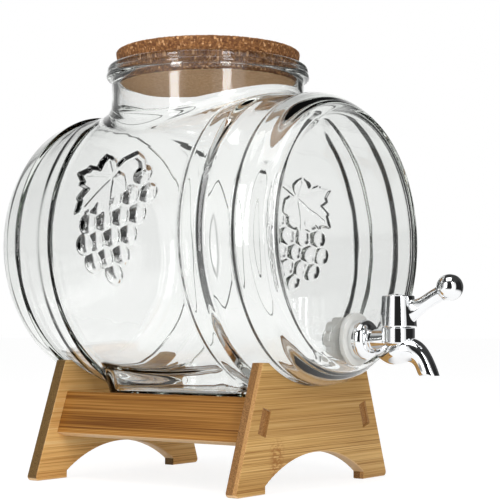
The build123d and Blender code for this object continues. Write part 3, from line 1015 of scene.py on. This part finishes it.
    def outer_shell(self) -> tuple[np.ndarray, np.ndarray]:
        """Lay the outside of the barrel.

        Returns:
            Point numbers of the hole for the neck and of the front head's edge.
        """
        turn = np.radians(stations(self.OUTER_TURNS)[:-1])
        corner = (self.head_face, self.chime_radius - self.head_round)
        flat = (self.head_flat, self.head_flat - self.head_rim)
        along, points = self.shell(self.OUTER_ROWS, turn, self.outer_radius, corner, flat, 9)
        ids = self.skin.add(points)
        gone = self.neck_cells(points, self.neck_radius + self.neck_flare + self.neck_margin)
        neck_hole = self.hole_loop(ids, gone)
        for side in Side:
            gone |= self.lay_relief(side, ids, along, turn)
        self.skin.weave(ids, True, gone)
        self.cap_head(ids[-1])
        return neck_hole, ids[0]

    def lay_relief(self, side: Side, ids: np.ndarray, along: np.ndarray, turn: np.ndarray) -> np.ndarray:
        """Lay a fine patch for one ornament inside a hole of the barrel's grid.

        Args:
            side: side of the barrel.
            ids: point numbers of the barrel's grid.
            along: places of its rows.
            turn: angles of its columns.

        Returns:
            Cells of the grid that the patch takes up.
        """
        art = self.relief
        ends = sorted((side.value * art.left, side.value * art.right))
        middle = math.pi / 2 if side is Side.RIGHT else math.pi * 1.5
        turns = sorted(middle + side.value * up / self.belly_radius for up in (art.low, art.high))
        hole, fine = [], []
        for places, (low, high), room, margin, unit in zip(
                (along, turn), (ends, turns), self.patch_room, self.patch_margin, (1.0, self.belly_radius)):
            before, after = places < low - room, places > high + room
            hole.append(slice(np.flatnonzero(before)[-1], np.flatnonzero(after)[0]))
            spans = round((high - low) * unit / self.patch_spacing)
            fine.append(np.linspace(low - margin, high + margin, spans))
        gone = np.zeros((ids.shape[0] - 1, ids.shape[1]), bool)
        gone[tuple(hole)] = True
        a, t = np.meshgrid(*fine, indexing="ij")
        patch = self.skin.add(self.at(a, t, self.outer_radius(a, t)))
        self.skin.weave(patch, False)
        rim = np.concatenate([patch[0, :-1], patch[:-1, -1], patch[-1, :0:-1], patch[:0:-1, 0]])
        loop = self.hole_loop(ids, gone)
        places = self.skin.points[np.concatenate([loop, rim])]
        angle = np.arctan2(places[:, 0], self.axis_z - places[:, 2]) % TURN
        self.skin.fill(loop, rim, np.stack([places[:, 1], angle * self.belly_radius], axis=-1))
        return gone

    def inner_shell(self) -> tuple[np.ndarray, np.ndarray]:
        """Lay the inside of the barrel.

        Returns:
            Point numbers of the hole for the bore and of the front head's edge.
        """
        turn = np.radians(stations(self.INNER_TURNS)[:-1])
        edge = float(self.stave(self.inner_head, self.wall))
        flat = (edge - self.inner_round[0], edge - self.inner_round[1])
        _, points = self.shell(self.INNER_ROWS, turn, self.inner_radius, (self.inner_head, edge), flat, 8)
        ids = self.skin.add(points)
        gone = self.neck_cells(points, self.neck_bore + self.bore_flare + self.neck_margin)
        self.skin.weave(ids, True, gone)
        self.cap_head(ids[-1])
        return self.hole_loop(ids, gone), ids[0]

    def cap_head(self, loop: np.ndarray) -> None:
        """Close a round head with a disc."""
        self.skin.fill(loop, None, self.skin.points[loop][:, [0, 2]])

    def crown(self, reach: float, angle: np.ndarray, inset: float) -> np.ndarray:
        """Height of the plain barrel round the neck's axis.

        Args:
            reach: radius from the neck's axis.
            angle: angles round it.
            inset: depth of the surface below the outside.

        Returns:
            Heights above the table.
        """
        along = self.neck_back + reach * np.sin(angle)
        x = reach * np.cos(angle)
        radius = self.stave(along)
        if inset:
            turn = np.pi - np.arcsin(np.clip(x / self.stave(along, inset), -1, 1))
            radius = self.inner_radius(along, turn)
        return self.axis_z + np.sqrt(radius**2 - x**2)

    def flare(self, wide: float, narrow: float, inset: float, rise: float) -> np.ndarray:
        """Rows of points from the barrel's curve up into an upright wall.

        Args:
            wide: radius at which the flare leaves the barrel.
            narrow: radius of the wall.
            inset: depth of the surface below the outside.
            rise: height of the flare's end above the corner.

        Returns:
            Array of rows, from the barrel to the wall.
        """
        angle = round_angles(self.neck_turns)
        start = self.crown(wide, angle, inset)
        slope = self.crown(wide + 0.5, angle, inset) - self.crown(wide - 0.5, angle, inset)
        corner = start - slope * (wide - narrow)
        curve = [
            np.stack([np.full_like(start, reach), level], axis=-1)
            for reach, level in ((wide, start), (narrow, corner), (narrow, corner + rise))
        ]
        return self.spin(bezier(*curve, 8), angle)

    def spin(self, rows: np.ndarray, angle: np.ndarray) -> np.ndarray:
        """Points round the neck from rows of radius and height."""
        reach, level = rows[..., 0], rows[..., 1]
        return np.stack([
            reach * np.cos(angle), self.middle_y + self.neck_back + reach * np.sin(angle), level
        ], axis=-1)

    def neck(self) -> tuple[np.ndarray, np.ndarray]:
        """Lay the neck: flare, wall, two stacked rolls, lip and bore.

        Returns:
            Point numbers of its ring on the outside and of its ring on the inside.
        """
        angle = round_angles(self.neck_turns)
        rim_z = self.axis_z + self.neck_top
        r, b = self.neck_radius, self.neck_bore
        outside = self.flare(r + self.neck_flare, r, 0.0, self.neck_rise)
        inside = self.flare(b + self.bore_flare, b, self.wall, self.bore_rise)
        profile = np.vstack([
            bezier((r, -8.9), (r + 3.9, -8.6), (r + 3.45, -6.2), 6)[:-1],
            bezier((r + 3.45, -6.2), (r + 3.2, -4.5), (r + 1.9, -4.25), 4)[:-1],
            bezier((r + 1.9, -4.25), (r + 3.0, -3.9), (r + 2.8, -2.2), 4)[:-1],
            bezier((r + 2.8, -2.2), (r + 2.5, 0.0), (r - 0.4, 0.0), 6)[:-1],
            bezier((r - 0.4, 0.0), (b, 0.1), (b, -2.2), 6),
        ])
        rim = self.spin(np.repeat(profile[:, None, :] + np.array([0.0, rim_z]), len(angle), axis=1), angle)
        walls = []
        for low, high, steps in ((outside[-1], rim[0], 4), (rim[-1], inside[-1], 8)):
            walls.append(np.array([low + (high - low) * s for s in np.linspace(0, 1, steps + 1)[1:-1]]))
        ids = self.skin.add(np.concatenate([outside, walls[0], rim, walls[1], inside[::-1]]))
        self.skin.weave(ids, True)
        return ids[0], ids[-1]

    def tap_hole(self) -> tuple[np.ndarray, np.ndarray]:
        """Lay the drilled hole for the tap, with ground edges.

        Returns:
            Point numbers of its edge on the outside and of its edge on the inside.
        """
        angle = round_angles(self.hole_turns)
        front, back, edge = -self.head_face, -self.inner_head, self.hole_edge
        rows = []
        for reach, along in ((self.hole_seat, front), (edge, front), (0.0, front + edge),
                             (0.0, back - edge), (edge, back), (self.hole_seat, back)):
            radius = self.hole_radius + reach
            rows.append(np.stack([
                radius * np.cos(angle), np.full_like(angle, self.middle_y + along),
                self.tap_z + radius * np.sin(angle),
            ], axis=-1))
        ids = self.skin.add(np.array(rows))
        self.skin.weave(ids, True)
        return ids[0], ids[-1]

    def build(self, material: bpy.types.Material) -> bpy.types.Object:
        """Make the barrel and put it in place of its node.

        Args:
            material: the glass.

        Returns:
            The finished piece.
        """
        neck_hole, head_edge = self.outer_shell()
        bore_hole, inner_edge = self.inner_shell()
        neck_foot, bore_foot = self.neck()
        hole_out, hole_in = self.tap_hole()
        for outer, inner in ((neck_hole, neck_foot), (bore_hole, bore_foot)):
            both = np.concatenate([outer, inner])
            self.skin.fill(outer, inner, self.neck_plan(self.skin.points[both]))
        for outer, inner in ((head_edge, hole_out), (inner_edge, hole_in)):
            both = np.concatenate([outer, inner])
            self.skin.fill(outer, inner, self.skin.points[both][:, [0, 2]])
        piece = self.skin.make("barrel_glass")
        piece.data.materials.append(material)
        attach(piece, "barrel")
        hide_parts("glass_barrel")
        return piece


@dataclass
class CorkStopper:
    """Tapered disc of pressed cork; a node tree sinks the gaps between its granules."""

    taper: float = 7.9
    bottom_ease: float = 0.05
    rounding: float = 1.2
    turns: int = 480
    rows: int = 23
    spacing: float = 0.7
    row_share: float = 0.866
    edge_share: float = 0.7
    granule: float = 1.3
    pit_depth: float = 0.26
    pit_share: float = 0.22
    seed: float = 7.0

    INPUTS: ClassVar[dict[str, str]] = {
        "Geometry": "NodeSocketGeometry",
        "Granule Size": "NodeSocketFloat",
        "Pit Depth": "NodeSocketFloat",
        "Seed": "NodeSocketFloat",
        "Finish": "NodeSocketMaterial",
    }

    def turned(self) -> bpy.types.Object:
        """Turn a plain tapered disc with a fine, even mesh.

        Returns:
            The disc, linked to the scene.
        """
        low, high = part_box("cork_stopper")
        y = (low.y + high.y) / 2 / MM
        wide = (high.x - low.x) / 2 / MM
        bottom, top = low.z / MM, high.z / MM
        narrow = wide - (top - bottom) * math.tan(math.radians(self.taper)) + self.bottom_ease
        r = self.rounding
        profile = np.vstack([
            bezier((narrow - r, bottom), (narrow, bottom), (narrow + 0.1, bottom + r), 3),
            [(narrow + (wide - narrow) * s, bottom + (top - bottom) * s)
             for s in np.linspace(0.1, 0.9, self.rows)],
            bezier((wide - 0.1, top - r), (wide, top), (wide - r, top), 3),
        ])
        angle = round_angles(self.turns)
        skin = Skin()
        ids = skin.add(np.stack([
            profile[:, :1] * np.cos(angle), y + profile[:, :1] * np.sin(angle),
            np.repeat(profile[:, 1:], self.turns, axis=1),
        ], axis=-1))
        skin.weave(ids, True)
        for loop, level in ((ids[0], bottom), (ids[-1], top)):
            self.lay_face(skin, loop, y, level)
        return skin.make("stopper_cork")

    def lay_face(self, skin: Skin, loop: np.ndarray, y: float, level: float) -> None:
        """Close a flat end with an even mesh.

        Args:
            skin: mesh that grows.
            loop: point numbers of the end's edge.
            y: place of the disc's middle.
            level: height of the end.
        """
        reach = np.linalg.norm(skin.points[loop[0]][:2] - (0, y)) - self.edge_share * self.spacing
        steps = np.arange(-reach, reach, self.spacing)
        x, across = np.meshgrid(steps, np.arange(-reach, reach, self.spacing * self.row_share), indexing="ij")
        x = x + self.spacing / 2 * (np.arange(x.shape[1]) % 2)
        spots = np.stack([x.ravel(), across.ravel()], axis=-1)
        spots = spots[np.hypot(*spots.T) < reach]
        loose = skin.add(np.column_stack([spots[:, 0], spots[:, 1] + y, np.full(len(spots), level)]))
        skin.fill(loop, None, skin.points[np.concatenate([loop, loose])][:, :2], loose)

    def granule_tree(self) -> bpy.types.NodeTree:
        """Wire the node tree that sinks the gaps between granules.

        Returns:
            The new tree.
        """
        tree = bpy.data.node_groups.new("cork_granules", "GeometryNodeTree")
        for name, kind in self.INPUTS.items():
            tree.interface.new_socket(name, in_out="INPUT", socket_type=kind)
        tree.interface.new_socket("Geometry", in_out="OUTPUT", socket_type="NodeSocketGeometry")
        wiring = Wiring(tree)
        given = wiring.add("NodeGroupInput").outputs
        where = wiring.add("GeometryNodeInputPosition").outputs[0]
        normal = wiring.add("GeometryNodeInputNormal").outputs[0]
        scale = wiring.maths("DIVIDE", 1.0, given["Granule Size"])
        inputs = {"Vector": where, "Scale": scale, "W": given["Seed"]}
        cells = wiring.add(
            "ShaderNodeTexVoronoi", inputs, voronoi_dimensions="4D", feature="DISTANCE_TO_EDGE")
        gap = wiring.spread(cells.outputs["Distance"], 0.0, self.pit_share, -1.0, 0.0)
        depth = wiring.maths("MULTIPLY", gap, given["Pit Depth"])
        push = wiring.add("ShaderNodeVectorMath", {0: normal, "Scale": depth}, operation="SCALE")
        inputs = {"Geometry": given["Geometry"], "Offset": push.outputs[0]}
        move = wiring.add("GeometryNodeSetPosition", inputs)
        whole = wiring.add("GeometryNodeRealizeInstances", {0: move.outputs[0]})
        inputs = {"Geometry": whole.outputs[0], "Material": given["Finish"]}
        dressed = wiring.add("GeometryNodeSetMaterial", inputs)
        wiring.add("NodeGroupOutput", {0: dressed.outputs[0]})
        return tree

    def build(self, material: bpy.types.Material) -> bpy.types.Object:
        """Make the stopper and put it in place of its node.

        Args:
            material: the cork.

        Returns:
            The finished piece.
        """
        piece = self.turned()
        tree = self.granule_tree()
        named = {item.name: item.identifier for item in tree.interface.items_tree if item.in_out == "INPUT"}
        modifier = piece.modifiers.new("granules", "NODES")
        modifier.node_group = tree
        modifier[named["Granule Size"]] = self.granule * MM
        modifier[named["Pit Depth"]] = self.pit_depth * MM
        modifier[named["Seed"]] = self.seed
        modifier[named["Finish"]] = material
        bpy.context.view_layer.update()
        grown = bpy.data.meshes.new_from_object(piece.evaluated_get(bpy.context.evaluated_depsgraph_get()))
        piece.modifiers.clear()
        piece.data = grown
        grown.name = "stopper_cork"
        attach(piece, "stopper")
        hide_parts("cork_stopper")
        return piece


def dress(node: str, material: bpy.types.Material) -> bpy.types.Object:
    """Give a carried-over node its finish.

    Args:
        node: name of the node.
        material: its finish.

    Returns:
        The node's object.
    """
    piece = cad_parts[node]
    for slot in piece.material_slots:
        slot.material = material
    return piece


@dataclass
class BambooStand:
    """Two cradle panels and two slanted rails of oiled bamboo."""

    ply: float = 2.7
    panel_tones: tuple[Colour, ...] = ((0.330, 0.155, 0.036), (0.590, 0.345, 0.108), (0.740, 0.480, 0.190))
    # Painted light: the rear panel is toned paler, standing in for lamp light on its face
    painted_light_rear_tones: tuple[Colour, ...] = ((0.540, 0.255, 0.066), (0.830, 0.490, 0.170), (0.900, 0.620, 0.280))
    # Painted shade: the rear panel's sawn edges are toned darker, for edges in shade
    painted_shade_rear_sawn_tones: Tones = ((0.090, 0.050, 0.014), (0.190, 0.108, 0.034))
    # Painted shade: the rails are toned darker than the panels, for their sides in shadow
    painted_shade_rail_tones: tuple[Colour, ...] = ((0.130, 0.042, 0.005), (0.320, 0.136, 0.022), (0.500, 0.250, 0.064))
    tenon_tones: Tones = ((0.240, 0.105, 0.030), (0.430, 0.215, 0.070))

    def finishes(self) -> dict[str, BambooFinish]:
        """Choose the finish of each board; the panels show a leaf joint each.

        Returns:
            Finishes by the board's node.
        """
        front_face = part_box("stand_front_panel")[0].y / MM
        boards = {
            "stand_front_panel": BambooFinish(
                "front_panel", Grain.ACROSS, self.panel_tones, (-42.0, 0.0, 19.0), (9.0, 15.0),
                outer_ply_mm=(front_face - 1.0, front_face + self.ply)),
            "stand_rear_panel": BambooFinish(
                "rear_panel", Grain.ACROSS, self.painted_light_rear_tones, (31.0, 0.0, 52.0), (8.0, 10.0),
                sawn_tones=self.painted_shade_rear_sawn_tones),
        }
        for rail in ("left_rail", "right_rail"):
            boards[f"stand_{rail}"] = BambooFinish(
                rail, Grain.ALONG, self.painted_shade_rail_tones, sawn_tones=self.tenon_tones)
        return boards

    def build(self) -> list[bpy.types.Object]:
        """Dress the boards and return their objects."""
        return [dress(node, finish.material()) for node, finish in self.finishes().items()]


@dataclass
class LeverTap:
    """Chromed lever tap with its washers, lock nut and the valve inside."""

    plate: ChromeFinish = ChromeFinish()
    steel: SteelFinish = SteelFinish()
    washers: SoftFinish = SoftFinish("milky_rubber", (0.74, 0.74, 0.71), (0.64, 0.64, 0.61), 0.42, 0.5)
    mouldings: SoftFinish = SoftFinish("white_moulding", (0.82, 0.82, 0.80), (0.74, 0.74, 0.72), 0.36, 0.15)
    rings: SoftFinish = SoftFinish("black_rubber", (0.020, 0.020, 0.020), (0.045, 0.045, 0.045), 0.55)

    def finishes(self) -> dict[str, bpy.types.Material]:
        """Build the material of each piece.

        Returns:
            Materials by the piece's node.
        """
        chrome, milky = self.plate.material(), self.washers.material()
        white, black = self.mouldings.material(), self.rings.material()
        return {
            "outer_washer": milky,
            "inner_washer": milky,
            "tap_lock_nut": white,
            "valve_plug": white,
            "plug_retainer": white,
            "plug_o_ring_lower": black,
            "plug_o_ring_upper": black,
            "lever_screw": self.steel.material(),
            "tap_escutcheon": chrome,
            "tap_body": chrome,
            "tap_lever": chrome,
            "lever_button": chrome,
        }

    def build(self) -> list[bpy.types.Object]:
        """Dress the pieces and return their objects."""
        return [dress(node, material) for node, material in self.finishes().items()]


@dataclass(frozen=True)
class SoftBox:
    """Lamp that looks at the object: degrees beside the camera and above the table, metres, watts."""

    name: str
    aside: float
    elevation: float
    distance: float
    size: Point
    power: float


@dataclass
class Studio:
    """White table, soft light from all round, dark screens at the sides, strip lamps and the camera."""

    camera_place: Spot = (-697.95, -514.635, 91.77)
    camera_azimuth: float = -53.37
    camera_elevation: float = -3.54
    lens: float = 98.72
    sensor: float = 36.0
    lamp_aim: Spot = (0.0, 0.03, 0.15)
    diffuse_level: float = 0.55
    ceiling_from: Point = (0.4, 0.75)
    ceiling_mirrored: float = 0.05
    ceiling_through: float = 0.65
    table_reach: float = 30.0
    table_drop: float = 0.0002
    table_edge: Point = (0.32, 0.60)
    horizon_edge: Point = (0.9, 2.6)
    shade_middle: Spot = (0.0, 0.0365, 0.0)
    shade_edge: Point = (0.060, 0.125)
    shade_level: float = 0.35
    paint_tone: Colour = (0.90, 0.90, 0.90)
    shadow_tone: Colour = (0.30, 0.30, 0.30)
    table_glow: float = 0.82

    LAMPS: ClassVar[Sequence[SoftBox]] = (
        SoftBox("strip_left", -38.0, 14.0, 1.3, (0.24, 1.1), 6.0),
        SoftBox("strip_right", 23.0, 14.0, 1.3, (0.24, 1.1), 5.5),
        SoftBox("top_box", -10.0, 68.0, 1.4, (0.9, 0.9), 6.0),
    )
    # Brightness round the object, by degrees to the right of the line of sight
    MIRRORED: ClassVar[Sequence[Point]] = (
        (-180, 0.02), (-152, 0.02), (-148, 1.0), (-118, 1.0), (-113, 0.35), (-102, 0.30), (-98, 0.10),
        (-63, 0.10), (-57, 0.5), (-30, 0.6), (-24, 1.0), (17.5, 1.0), (23, 0.08), (66, 0.08), (72, 0.02),
        (132, 0.02), (136, 1.0), (163, 1.0), (167, 0.02), (180, 0.02),
    )
    THROUGH_WALL: ClassVar[Sequence[Point]] = (
        (-180, 0.05), (-157, 0.05), (-152, 1.0), (-136, 1.0), (-128, 0.10), (-60, 0.07), (-23, 0.05),
        (-17, 1.0), (17.5, 1.0), (21, 0.03), (130, 0.03), (137, 1.0), (172, 1.0), (176, 0.05), (180, 0.05),
    )
    THROUGH_TABLE: ClassVar[Sequence[Point]] = (
        (-180, 0.9), (-125, 0.9), (-120, 0.10), (-114, 0.10), (-109, 0.9), (-40, 0.9), (-35, 0.06),
        (-25, 0.05), (-19, 1.0), (13.5, 1.0), (17, 0.03), (24, 0.03), (29, 0.9), (56, 0.9), (60, 0.10),
        (66, 0.10), (70, 0.9), (102, 0.9), (106, 0.10), (112, 0.10), (116, 0.9), (146, 0.9), (150, 0.10),
        (156, 0.10), (160, 0.9), (180, 0.9),
    )

    def screens(self, book: NodeBook, where: Socket, ring: Sequence[Point]) -> Socket:
        """Brightness round the object, by direction in plan.

        Args:
            book: tree that the nodes go in.
            where: direction from the object.
            ring: brightness at degrees to the right of the line of sight.

        Returns:
            Socket with the brightness.
        """
        axes = book.axes(where)
        away = math.radians(90.0 + self.camera_azimuth)
        ahead = book.maths("MULTIPLY_ADD", axes["X"], math.cos(away),
                           book.maths("MULTIPLY", axes["Y"], math.sin(away)))
        aside = book.maths("MULTIPLY_ADD", axes["X"], math.sin(away),
                           book.maths("MULTIPLY", axes["Y"], -math.cos(away)))
        turn = book.maths("MULTIPLY_ADD", book.maths("ARCTAN2", aside, ahead), 1.0 / TURN, 0.5)
        stops = [(degrees / 360.0 + 0.5, (level, level, level)) for degrees, level in ring]
        return book.shades(turn, stops)

    def shine(self, book: NodeBook) -> tuple[Socket, Socket, Socket]:
        """Kind of a ray.

        Args:
            book: tree that the nodes go in.

        Returns:
            Whether it comes from the camera, by way of metal and glass alone, and last through glass.
        """
        path = book.add("ShaderNodeLightPath").outputs
        clear = book.maths("MAXIMUM", path["Is Glossy Ray"], path["Is Transmission Ray"])
        matt = book.maths("MINIMUM", path["Diffuse Depth"], 1.0)
        shine = book.maths("MULTIPLY", clear, book.maths("SUBTRACT", 1.0, matt))
        return path["Is Camera Ray"], shine, path["Is Transmission Ray"]

    def world(self) -> None:
        """White surroundings; metal and glass see a white wall behind, soft boxes and dark sides."""
        world = bpy.data.worlds.new("studio")
        bpy.context.scene.world = world
        book = NodeBook(world)
        where = book.add("ShaderNodeTexCoord").outputs["Generated"]
        overhead = book.spread(book.axes(where)["Z"], *self.ceiling_from, 0.0, 1.0)
        camera, shine, through = self.shine(book)
        mirrored, wall = (self.screens(book, where, ring) for ring in (self.MIRRORED, self.THROUGH_WALL))
        ceiling = book.blend(through, self.ceiling_mirrored, self.ceiling_through)
        seen = book.blend(overhead, book.blend(through, mirrored, wall), ceiling)
        level = book.blend(camera, book.blend(shine, self.diffuse_level, seen), 1.0)
        book.finish(book.add("ShaderNodeBackground", {"Color": (1.0, 1.0, 1.0, 1.0), "Strength": level}))

    def table_finish(self) -> bpy.types.Material:
        """White that keeps a soft shadow; metal and glass see it end in the dark sides.

        Returns:
            The new material.
        """
        book = NodeBook(bpy.data.materials.new("white_table"))
        camera, shine, through = self.shine(book)
        where = book.place()
        reach = book.add("ShaderNodeVectorMath", {0: where}, operation="LENGTH").outputs["Value"]
        far = book.spread(reach, *self.table_edge, 0.0, 1.0)
        horizon = book.spread(reach, *self.horizon_edge, 0.0, 1.0)
        rings = (self.THROUGH_TABLE, self.THROUGH_WALL, self.MIRRORED)
        table, wall, mirrored = (self.screens(book, where, ring) for ring in rings)
        beyond = book.blend(through, mirrored, book.blend(horizon, table, wall))
        # Painted shade on the table under the stand, seen by metal and glass
        middle = book.add("ShaderNodeVectorMath", {0: where, 1: self.shade_middle}, operation="DISTANCE")
        under = book.spread(middle.outputs["Value"], *self.shade_edge, self.shade_level, 1.0)
        level = book.maths("MULTIPLY", book.blend(far, 1.0, beyond), under)
        level = book.blend(camera, level, 1.0)
        tone = book.add("ShaderNodeCombineColor", {0: level, 1: level, 2: level}).outputs[0]
        paint = book.add("ShaderNodeBsdfDiffuse", {"Color": (*self.paint_tone, 1.0)})
        shaded = book.mix(1.0, tone, self.shadow_tone, "MULTIPLY")
        shadow = book.add("ShaderNodeBsdfDiffuse", {"Color": shaded})
        glow = book.add("ShaderNodeEmission", {"Color": tone, "Strength": self.table_glow})
        both = book.add("ShaderNodeAddShader", {0: shadow.outputs[0], 1: glow.outputs[0]})
        seen = book.maths("MAXIMUM", camera, shine)
        book.finish(book.add("ShaderNodeMixShader", {0: seen, 1: paint.outputs[0], 2: both.outputs[0]}))
        return book.owner

    def floor(self) -> None:
        """Lay the table top just under the feet."""
        mesh = bpy.data.meshes.new("table_top")
        reach = self.table_reach
        corners = [(-reach, -reach, 0), (reach, -reach, 0), (reach, reach, 0), (-reach, reach, 0)]
        mesh.from_pydata(corners, [], [(0, 1, 2, 3)])
        table = bpy.data.objects.new("table_top", mesh)
        table.location.z = -self.table_drop
        bpy.context.scene.collection.objects.link(table)
        mesh.materials.append(self.table_finish())

    def hang(self, data: bpy.types.ID, azimuth: float, elevation: float, aim: Vector,
             distance: float) -> bpy.types.Object:
        """Put a lamp or the camera in place, so that it looks back along its direction.

        Args:
            data: the lamp or camera, which gives the object its name.
            azimuth: direction from the object, 0 in front of the tap.
            elevation: height above the table, in degrees.
            aim: place that the distance counts from.
            distance: metres along the direction.

        Returns:
            The new object, linked to the scene.
        """
        a, e = math.radians(azimuth), math.radians(elevation)
        back = Vector((math.sin(a) * math.cos(e), -math.cos(a) * math.cos(e), math.sin(e)))
        item = bpy.data.objects.new(data.name, data)
        item.location = aim + back * distance
        item.rotation_euler = back.to_track_quat("Z", "Y").to_euler()
        bpy.context.scene.collection.objects.link(item)
        return item

    def lamps(self) -> None:
        """Hang the soft boxes."""
        for box in self.LAMPS:
            light = bpy.data.lights.new(box.name, "AREA")
            light.shape = "RECTANGLE"
            light.size, light.size_y = box.size
            light.energy = box.power
            azimuth = self.camera_azimuth + box.aside
            self.hang(light, azimuth, box.elevation, Vector(self.lamp_aim), box.distance)

    def camera(self) -> None:
        """Camera at the photograph's place."""
        lens = bpy.data.cameras.new("camera")
        lens.lens = self.lens
        lens.sensor_width = self.sensor
        place = Vector(self.camera_place) * MM
        bpy.context.scene.camera = self.hang(lens, self.camera_azimuth, self.camera_elevation, place, 0.0)

    def build(self) -> None:
        """Set up the surroundings, table, lamps, camera and plain picture settings."""
        self.world()
        self.floor()
        self.lamps()
        self.camera()
        bpy.context.scene.view_settings.view_transform = "Standard"


def main() -> None:
    """Build and dress every piece, then set up the studio."""
    logging.basicConfig(level=logging.INFO, format="%(message)s")
    pieces = [GlassBarrel().build(GlassFinish().material()), CorkStopper().build(CorkFinish().material())]
    pieces += BambooStand().build()
    pieces += LeverTap().build()
    for piece in pieces:
        LOG.info("%s: %d faces", piece.name, len(piece.data.polygons))
    Studio().build()
    bpy.context.view_layer.update()


if __name__ == "__main__":
    main()
